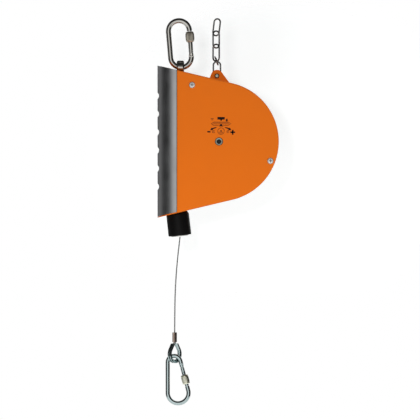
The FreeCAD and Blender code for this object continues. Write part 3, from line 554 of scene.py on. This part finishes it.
def shaded_finishes(c):
    """The finishes with painted shade in a joint or a recess."""
    spine = finish_material("drawn_aluminium", c.spine, 1.0, 0.34, squeeze=(900.0, 900.0, 5.0))
    # painted shade: a dark line on the spine guard's edge for the shadow in its seam with the housing
    paint_shade(spine, along(spine, X), *SEAM_SHADE_X)
    arbor = finish_material("arbor_steel", (0.45, 0.46, 0.40), 1.0, 0.35)
    # painted shade: black in the key socket, and round the arbor's rim for the shadow in the gap to the
    # cover
    paint_shade(arbor, from_axis(arbor, HUB), NEAREST, SOCKET_R)
    paint_shade(arbor, from_axis(arbor, HUB), ARBOR_RIM_R, FURTHEST)
    screws = finish_material("screw_steel", (0.78, 0.78, 0.77), 0.45, 0.45)
    # painted shade: dark in the screw heads' recesses and round their rims
    paint_shade(screws, along(screws, Y), *SCREW_RECESS_SHADE_Y, blur=0.05)
    pin = finish_material("pin_steel", (0.42, 0.43, 0.36), 1.0, 0.30)
    # painted shade round the chain pin's head and its seat
    paint_shade(pin, from_axis(pin, CHAIN_PIN), PIN_HEAD_R, FURTHEST)


def gate_finishes(c):
    """The two gates' finishes, with their painted shade lines at the joints with the body and the
    sleeve.
    """
    for name, tone in (("top_carabiner", c.steel), ("hook", c.zinc)):
        gate = finish_material(name + "_gate_finish", tone, 1.0, 0.18, depth=0.01)
        start, heading = gate_line(name)
        for low, high in GATE_SHADE_LINES[name]:
            # painted shade lines for the shadow in the gate's joints
            paint_shade(gate, along(gate, heading), start @ heading + low, start @ heading + high)


class BALANCER_OT_finishes(bpy.types.Operator):
    """Builds the finishes and puts them on the frame's own pieces"""
    bl_idname = "balancer.finishes"
    bl_label = "Finishes"

    def execute(self, context):
        c = context.scene.balancer_colours
        grain_group()
        drawn_group()
        even_finishes(c)
        shaded_finishes(c)
        gate_finishes(c)
        for name, nodes in WORN_BY.items():
            for node in nodes:
                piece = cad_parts[node]
                piece.data.materials.clear()
                piece.data.materials.append(bpy.data.materials[name])
                soften(piece, name in WIRY)
        return {"FINISHED"}


def smooth_route(points):
    """The points, in metres, of a smooth curve that a list of points in millimetres controls."""
    curve = bpy.data.curves.new("rope_route", "CURVE")
    curve.dimensions = "3D"
    curve.resolution_u = 24
    spline = curve.splines.new("NURBS")
    spline.points.add(len(points) - 1)
    spline.points.foreach_set("co", np.c_[np.array(points) * MM, np.ones(len(points))].ravel())
    spline.order_u = 3
    spline.use_endpoint_u = True
    guide = bpy.data.objects.new("rope_route", curve)
    line = bpy.data.meshes.new_from_object(guide)
    path = np.empty(len(line.vertices) * 3)
    line.vertices.foreach_get("co", path)
    bpy.data.objects.remove(guide)
    bpy.data.meshes.remove(line)
    bpy.data.curves.remove(curve)
    return path.reshape(-1, 3)


def eye_outline():
    """Points of the rope's eye in its own plane: an arc of LOOP_RADIUS from leg to leg, counted
    past the bottom, and two straight legs that lean in to LOOP_TOP."""
    end_x = LOOP_RADIUS * math.cos(LOOP_LEAN)
    end_z = LOOP_RADIUS * math.sin(LOOP_LEAN)
    top_x = end_x - (LOOP_TOP - end_z) * math.tan(LOOP_LEAN)
    a = np.linspace(math.pi - LOOP_LEAN, 2 * math.pi + LOOP_LEAN, 90)
    bend = np.stack([np.cos(a), np.sin(a)], -1) * LOOP_RADIUS
    return np.vstack([[(-top_x, LOOP_TOP)], bend, [(top_x, LOOP_TOP)]])


class BALANCER_OT_ropes(bpy.types.Operator):
    """Lays the wire rope: its tail on the drum, the drawn stretch, the hanging one and the eye"""
    bl_idname = "balancer.ropes"
    bl_label = "Ropes"

    def execute(self, context):
        rope = context.scene.balancer_rope
        steel = bpy.data.materials["stranded_steel"]

        path = smooth_route(ROPE_ROUTE)
        hanging = make_piece("hanging_rope", laid_rope(path / MM, rope, Y), steel, "hook_line")
        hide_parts("hanging_cable")

        flat = eye_outline()
        plane = np.array((math.cos(LOOP_TURN), math.sin(LOOP_TURN), 0))
        eye = LOOP_CENTRE + flat[:, :1] * plane + flat[:, 1:] * Z
        loop = make_piece("rope_eye", laid_rope(eye, rope, np.cross(plane, Z)), steel, "hook_line")
        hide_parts("rope_loop")

        leaving = DRAWN_TOP - WOUND_TAIL * Z
        wound = laid_rope(np.array([DRAWN_TOP, leaving]), rope, Y)
        tail = make_piece("wound_tail", wound, steel, "drum")
        straight = laid_rope(np.array([leaving, DRAWN_END]), rope, Y)
        drawn = make_piece("drawn_rope", straight, steel, None)
        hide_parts("drawn_cable")
        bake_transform(drawn)

        return {"FINISHED"}


def gate_line(name):
    """Where a gate's line leaves the nose bend, and its direction: the bends' common tangent.

    Its normal leans from the line between the middles by the difference of the radii over their
    distance, and each end of the tangent is middle + radius x normal."""
    g = GATES[name]
    nose = np.array((g["nose"][0], 0, g["nose"][1]))
    hinge = np.array((g["hinge"][0], 0, g["hinge"][1]))
    span = np.linalg.norm(hinge - nose)
    down = (hinge - nose) / span
    across = np.array((-down[2], 0, down[0]))
    share = (g["nose_r"] - g["hinge_r"]) / span
    normal = down * share + across * (g["side"] * math.sqrt(1 - share * share))
    start = nose + normal * g["nose_r"]
    stop = hinge + normal * g["hinge_r"]
    return start, (stop - start) / np.linalg.norm(stop - start)


def sleeve_profile(end, outer, taper, bore):
    """The sleeve's section as (radius, distance): a barrel, outer - taper x |2 x distance / end - 1|
    to BARREL_POWER, with rounded ends and a groove at each end of the grip, and a chamfered bore."""
    stations = np.array([0, 0.3, 0.9, 2.0, 2.3, 2.6])
    stations = np.concatenate([stations, np.linspace(2.9, end - 2.9, 9), end - stations[::-1]])
    radii = outer - taper * np.abs(2 * stations / end - 1) ** BARREL_POWER
    radii[[0, -1]] -= 0.8
    radii[[1, -2]] -= 0.35
    radii[[4, 5, -5, -6]] -= 0.45
    hole = [(bore + 0.6, end), (bore, end - 0.6), (bore, 0.6), (bore + 0.6, 0)]
    return np.r_[np.c_[radii, stations], hole]


class BALANCER_OT_sleeves(bpy.types.Operator):
    """Turns the two screw sleeves with a grooved grip between plain bands"""
    bl_idname = "balancer.sleeves"
    bl_label = "Sleeves"

    def execute(self, context):
        s = context.scene.balancer_sleeves
        for name, size in SLEEVES.items():
            start, heading = gate_line(name)
            end = size["high"] - size["low"]
            profile = sleeve_profile(end, size["outer"], size["taper"], size["bore"])
            depth = size["cut"] * s.depth / MM
            outside = size["bore"] + 1

            def grip(radius, distance, angle):
                """Grooves of a cosine section, half x depth x (1 - cos(teeth x angle)), fading out at
                the ends of the grip and left off the bore's wall."""
                first = np.clip((distance - GRIP_START) / GRIP_FADE, 0, 1)
                last = np.clip((end - GRIP_START - distance) / GRIP_FADE, 0, 1)
                inside = first * last * (radius > outside)
                return radius - depth * inside * (0.5 - 0.5 * np.cos(s.teeth * angle))

            points = lathe(profile, start + heading * size["low"], heading, Y, s.teeth * 8, grip)
            material = bpy.data.materials[size["finish"]]
            piece = make_piece(name + "_knurled_sleeve", [(points, True)], material, size["body"])
            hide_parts(name + "_sleeve")
            split = piece.modifiers.new("Edges", "EDGE_SPLIT")
            split.split_angle = math.radians(SLEEVE_EDGE)
        return {"FINISHED"}


def arc(centre, radius, first, last, count=24):
    """Points round part of a circle, angles in degrees from the right, counted up."""
    a = np.radians(np.linspace(first, last, count))
    return np.stack([centre[0] + radius * np.cos(a), centre[1] + radius * np.sin(a)], -1)


def arrows():
    """Two curved arrows, each the other's mirror image: a tapering arc and a triangular head."""
    sweep = arc(ARROW_CENTRE, ARROW_RADIUS, *ARROW_ANGLES)
    middle = ARROW_CENTRE[0]
    strokes = []
    for side in (-1, 1):
        swept = np.c_[middle + side * (middle - sweep[:, 0]), sweep[:, 1]]
        head = swept[-1] + np.array([(0, 0), (side * ARROW_TIP[0], ARROW_TIP[1])])
        strokes += [(swept, np.linspace(*ARROW_WIDTHS, len(swept))), (head, ARROW_HEAD)]
    return strokes


def rings():
    """Fine circles in the row of the minus and the plus: a large one with an arc in it, and a small
    one with a bar in it to either side."""
    strokes = [(arc((3.2, 16.7), 5.0, 0, 350), 0.8), (arc((3.2, 16.7), 3.0, 200, 340), 0.8)]
    for middle in (-8.3, 13.9):
        strokes.append((arc((middle, 15.8), 1.9, 20, 340), 0.7))
        strokes.append(([(middle - 0.8, 15.8), (middle + 0.8, 15.8)], 0.9))
    return strokes


def inked(path, width):
    """A stroke's skin: four lines beside its path, half a width to either side, proud of the front
    face and sunk in it."""
    path = np.asarray(path, float)
    line = MARKS_CENTRE + path[:, :1] * X + path[:, 1:] * Z
    across = across_line(line, Y) * (np.broadcast_to(width, len(line)) / 2)[:, None]
    proud = -INK_PROUD * Y
    sunk = INK_SUNK * Y
    corners = (line - across + proud, line + across + proud, line + across + sunk, line - across + sunk)
    return np.stack(corners, 1), False


class BALANCER_OT_marks(bpy.types.Operator):
    """Prints generic setting marks above the key socket: minus, plus, two arrows and plain signs"""
    bl_idname = "balancer.marks"
    bl_label = "Setting marks"

    def execute(self, context):
        bold = [inked(path, np.multiply(width, BOLD_SCALE)) for path, width in BOLD_MARKS + arrows()]
        fine = [inked(path, width) for path, width in FINE_MARKS + rings()]
        for name, skins, tone in (("marks_bold", bold, "printed_ink"), ("marks_fine", fine, "thin_ink")):
            make_piece(name, skins, bpy.data.materials[tone], "housing", smooth=False)
        return {"FINISHED"}


def place(name, position, target):
    """Stands a lamp or the camera at a place, looking at a point."""
    thing = bpy.data.objects[name]
    thing.location = position
    thing.rotation_euler = (Vector(target) - Vector(position)).to_track_quat("-Z", "Y").to_euler()


class BALANCER_OT_stage(bpy.types.Operator):
    """Sets the floor, the card behind, the world, the lamps and the camera"""
    bl_idname = "balancer.stage"
    bl_label = "Stage"

    def execute(self, context):
        s = context.scene.balancer_stage
        scene = context.scene
        scene.view_settings.view_transform = "Standard"
        self.sheets(scene)
        self.world(scene, s.world_level)
        self.tent(scene)
        self.lamps(scene, s)
        self.camera(scene, s)
        return {"FINISHED"}

    def sheets(self, scene):
        """The floor, and the upright card behind the object."""
        r = FLOOR_REACH
        floor = [(-r, -r, FLOOR_Z), (r, -r, FLOOR_Z), (r, r, FLOOR_Z), (-r, r, FLOOR_Z)]
        card = [(x, CARD_Y, z) for x, z in CARD_CORNERS]
        for name, corners in (("floor", floor), ("card", card)):
            mesh = bpy.data.meshes.new(name)
            mesh.from_pydata(corners, [], [(0, 1, 2, 3)])
            sheet = bpy.data.objects.new(name, mesh)
            scene.collection.objects.link(sheet)
            sheet.data.materials.append(self.white(name, fading=name == "card"))

    def world(self, scene, lit_level):
        """White to the eye and in mirrors. For light it is bright from +X to the middle and falls off
        to a dark side at -X."""
        world = bpy.data.worlds.new("studio")
        scene.world = world
        world.use_nodes = True
        nodes, links = wires(world)
        back = nodes["Background"]
        where = nodes.new("ShaderNodeTexCoord")
        parts = nodes.new("ShaderNodeSeparateXYZ")
        ramp = nodes.new("ShaderNodeValToRGB")
        shift = nodes.new("ShaderNodeMapRange")
        shift.inputs["From Min"].default_value = -1.0
        links.new(where.outputs["Generated"], parts.inputs[0])
        links.new(parts.outputs["X"], shift.inputs["Value"])
        links.new(shift.outputs["Result"], ramp.inputs["Fac"])
        stops = ramp.color_ramp.elements
        stops[0].color = (0.03, 0.03, 0.03, 1)
        stops[1].position = 0.5
        stops[1].color = (1, 1, 1, 1)
        for share, grey in DARK_SIDE:
            stops.new(share).color = (grey, grey, grey, 1)
        seen = nodes.new("ShaderNodeLightPath")
        level = nodes.new("ShaderNodeMix")
        level.data_type = "RGBA"
        level.inputs["B"].default_value = (1, 1, 1, 1)
        shown = self.seen_directly(nodes, links, seen)
        links.new(shown, level.inputs["Factor"])
        links.new(ramp.outputs["Color"], level.inputs["A"])
        links.new(level.outputs["Result"], back.inputs["Color"])
        strength = nodes.new("ShaderNodeMix")
        strength.inputs["A"].default_value = lit_level
        strength.inputs["B"].default_value = 1.0
        links.new(shown, strength.inputs["Factor"])
        links.new(strength.outputs["Result"], back.inputs["Strength"])

    def lamps(self, scene, s):
        """Two soft lamps that no mirror shows."""
        for name, power, size, position, target in (
                ("key", s.key_power, 0.18, (-0.18, -3.2, -0.02), (0.05, 0, -0.2)),
                ("fill", s.fill_power, 0.35, (0.0, -0.62, -0.56), (0.05, 0, -0.4))):
            lamp = bpy.data.lights.new(name, "AREA")
            lamp.energy = power
            lamp.size = size
            stand = bpy.data.objects.new(name, lamp)
            stand.visible_glossy = False
            scene.collection.objects.link(stand)
            place(name, position, target)

    def camera(self, scene, s):
        """The camera, square to the front."""
        camera = bpy.data.cameras.new("camera")
        camera.lens = s.lens
        camera.sensor_width = 36.0
        scene.collection.objects.link(bpy.data.objects.new("camera", camera))
        place("camera", (AIM[0], -s.distance, AIM[2]), AIM)
        scene.camera = bpy.data.objects["camera"]

    def seen_directly(self, nodes, links, seen):
        """The sum of three kinds of ray, from the eye, off a mirror and through glass, each 0 or 1."""
        total = seen.outputs["Is Camera Ray"]
        for kind in ("Is Glossy Ray", "Is Transmission Ray"):
            add = nodes.new("ShaderNodeMath")
            add.operation = "ADD"
            links.new(total, add.inputs[0])
            links.new(seen.outputs[kind], add.inputs[1])
            total = add.outputs[0]
        return total

    def tent(self, scene):
        """A sphere of dark cloth that only polished surfaces mirror: TENT_RADIUS x (cos up x cos
        around, cos up x sin around, sin up). It stops just short of its poles."""
        columns = 48
        rows = 25
        around = np.linspace(0, 2 * np.pi, columns, endpoint=False)
        up = np.linspace(-np.pi / 2 + 0.02, np.pi / 2 - 0.02, rows)
        ring = np.stack([np.cos(around), np.sin(around), np.zeros(columns)], -1)
        points = TENT_RADIUS * (np.cos(up)[:, None, None] * ring + np.sin(up)[:, None, None] * Z)
        mesh = bpy.data.meshes.new("tent")
        mesh.from_pydata(points.reshape(-1, 3).tolist(), [], grid_quads(rows, columns).tolist())
        tent = bpy.data.objects.new("tent", mesh)
        scene.collection.objects.link(tent)
        for ray in ("camera", "diffuse", "shadow", "transmission"):
            setattr(tent, "visible_" + ray, False)
        tent.data.materials.append(self.cloth())

    def cloth(self):
        """Dark cloth, open in front, behind, below and at the left rear, so that mirrors show the white
        world there. An opening is a lobe, ((direction . centre - TENT_EDGE) / (1 - TENT_EDGE)) to a
        power. The first, the front one, also holds the key lamp's glow."""
        material = bpy.data.materials.new("tent_cloth")
        material.use_nodes = True
        nodes, links = wires(material)
        nodes.clear()
        out = nodes.new("ShaderNodeOutputMaterial")
        glow = nodes.new("ShaderNodeEmission")
        view = nodes.new("ShaderNodeBsdfTransparent")
        both = nodes.new("ShaderNodeAddShader")
        links.new(glow.outputs[0], both.inputs[0])
        links.new(view.outputs[0], both.inputs[1])
        links.new(both.outputs[0], out.inputs["Surface"])
        where = nodes.new("ShaderNodeTexCoord")
        unit = nodes.new("ShaderNodeVectorMath")
        unit.operation = "NORMALIZE"
        links.new(where.outputs["Object"], unit.inputs[0])
        total = None
        for centre, passed, sharp in TENT_OPENINGS:
            facing = nodes.new("ShaderNodeVectorMath")
            facing.operation = "DOT_PRODUCT"
            facing.inputs[1].default_value = centre
            links.new(unit.outputs[0], facing.inputs[0])
            share = nodes.new("ShaderNodeMapRange")
            share.inputs["From Min"].default_value = TENT_EDGE
            links.new(facing.outputs["Value"], share.inputs["Value"])
            lobe = nodes.new("ShaderNodeMath")
            lobe.operation = "POWER"
            lobe.inputs[1].default_value = sharp
            links.new(share.outputs["Result"], lobe.inputs[0])
            opening = nodes.new("ShaderNodeMath")
            opening.operation = "MULTIPLY_ADD"
            opening.use_clamp = True
            opening.inputs[1].default_value = passed
            opening.inputs[2].default_value = 0.0
            links.new(lobe.outputs[0], opening.inputs[0])
            if total:
                links.new(total, opening.inputs[2])
            else:
                lit = nodes.new("ShaderNodeMath")
                lit.operation = "MULTIPLY_ADD"
                lit.inputs[1].default_value = TENT_KEY
                lit.inputs[2].default_value = TENT_DARK
                links.new(lobe.outputs[0], lit.inputs[0])
                links.new(lit.outputs[0], glow.inputs["Strength"])
            total = opening.outputs[0]
        links.new(total, view.inputs["Color"])
        return material

    def white(self, name, fading):
        """White that keeps shadows and shows as white to the eye and in reflections. It is clear from
        behind, and a fading one is clear outside an oval: |(place - centre) / radii| past CARD_FADE."""
        material = bpy.data.materials.new("white_" + name)
        material.use_nodes = True
        nodes, links = wires(material)
        nodes.clear()
        out = nodes.new("ShaderNodeOutputMaterial")
        matt = nodes.new("ShaderNodeBsdfDiffuse")
        matt.inputs["Color"].default_value = (*WHITE_PAINT, 1)
        glow = nodes.new("ShaderNodeEmission")
        seen = nodes.new("ShaderNodeLightPath")
        level = nodes.new("ShaderNodeMath")
        level.operation = "MULTIPLY"
        level.inputs[1].default_value = WHITE_GLOW
        links.new(self.seen_directly(nodes, links, seen), level.inputs[0])
        links.new(level.outputs[0], glow.inputs["Strength"])
        lit = nodes.new("ShaderNodeAddShader")
        links.new(matt.outputs[0], lit.inputs[0])
        links.new(glow.outputs[0], lit.inputs[1])
        clear = nodes.new("ShaderNodeBsdfTransparent")
        mix = nodes.new("ShaderNodeMixShader")
        links.new(lit.outputs[0], mix.inputs[1])
        links.new(clear.outputs[0], mix.inputs[2])
        side = nodes.new("ShaderNodeNewGeometry")
        hidden = side.outputs["Backfacing"]
        if fading:
            where = nodes.new("ShaderNodeTexCoord")
            centred = nodes.new("ShaderNodeVectorMath")
            centred.operation = "MULTIPLY_ADD"
            centred.inputs[1].default_value = (1 / CARD_RADII[0], 0, 1 / CARD_RADII[1])
            centred.inputs[2].default_value = (-CARD_CENTRE[0] / CARD_RADII[0], 0,
                                               -CARD_CENTRE[1] / CARD_RADII[1])
            reach = nodes.new("ShaderNodeVectorMath")
            reach.operation = "LENGTH"
            edge = nodes.new("ShaderNodeMapRange")
            edge.interpolation_type = "SMOOTHSTEP"
            edge.inputs["From Min"].default_value = CARD_FADE[0]
            edge.inputs["From Max"].default_value = CARD_FADE[1]
            links.new(where.outputs["Object"], centred.inputs[0])
            links.new(centred.outputs[0], reach.inputs[0])
            links.new(reach.outputs["Value"], edge.inputs["Value"])
            most = nodes.new("ShaderNodeMath")
            most.operation = "MAXIMUM"
            links.new(hidden, most.inputs[0])
            links.new(edge.outputs["Result"], most.inputs[1])
            hidden = most.outputs[0]
        links.new(hidden, mix.inputs[0])
        links.new(mix.outputs[0], out.inputs["Surface"])
        return material


class BALANCER_PT_panel(bpy.types.Panel):
    """Lists the steps that dress the balancer"""
    bl_idname = "BALANCER_PT_panel"
    bl_label = "Tool balancer"
    bl_space_type = "VIEW_3D"
    bl_region_type = "UI"
    bl_category = "Balancer"

    def draw(self, context):
        for step in STEPS:
            self.layout.operator(step.bl_idname)


SETTINGS = {"balancer_colours": BalancerColours, "balancer_rope": BalancerRope,
            "balancer_sleeves": BalancerSleeves, "balancer_stage": BalancerStage}
STEPS = (BALANCER_OT_stage, BALANCER_OT_finishes, BALANCER_OT_ropes, BALANCER_OT_sleeves,
         BALANCER_OT_marks)


def register():
    for cls in (*SETTINGS.values(), *STEPS, BALANCER_PT_panel):
        bpy.utils.register_class(cls)
    for name, cls in SETTINGS.items():
        setattr(bpy.types.Scene, name, PointerProperty(type=cls))


def unregister():
    for name in SETTINGS:
        delattr(bpy.types.Scene, name)
    for cls in (BALANCER_PT_panel, *reversed(STEPS), *reversed(SETTINGS.values())):
        bpy.utils.unregister_class(cls)


def main():
    register()
    bpy.ops.balancer.stage()
    bpy.ops.balancer.finishes()
    bpy.ops.balancer.ropes()
    bpy.ops.balancer.sleeves()
    bpy.ops.balancer.marks()


if __name__ == "__main__":
    main()
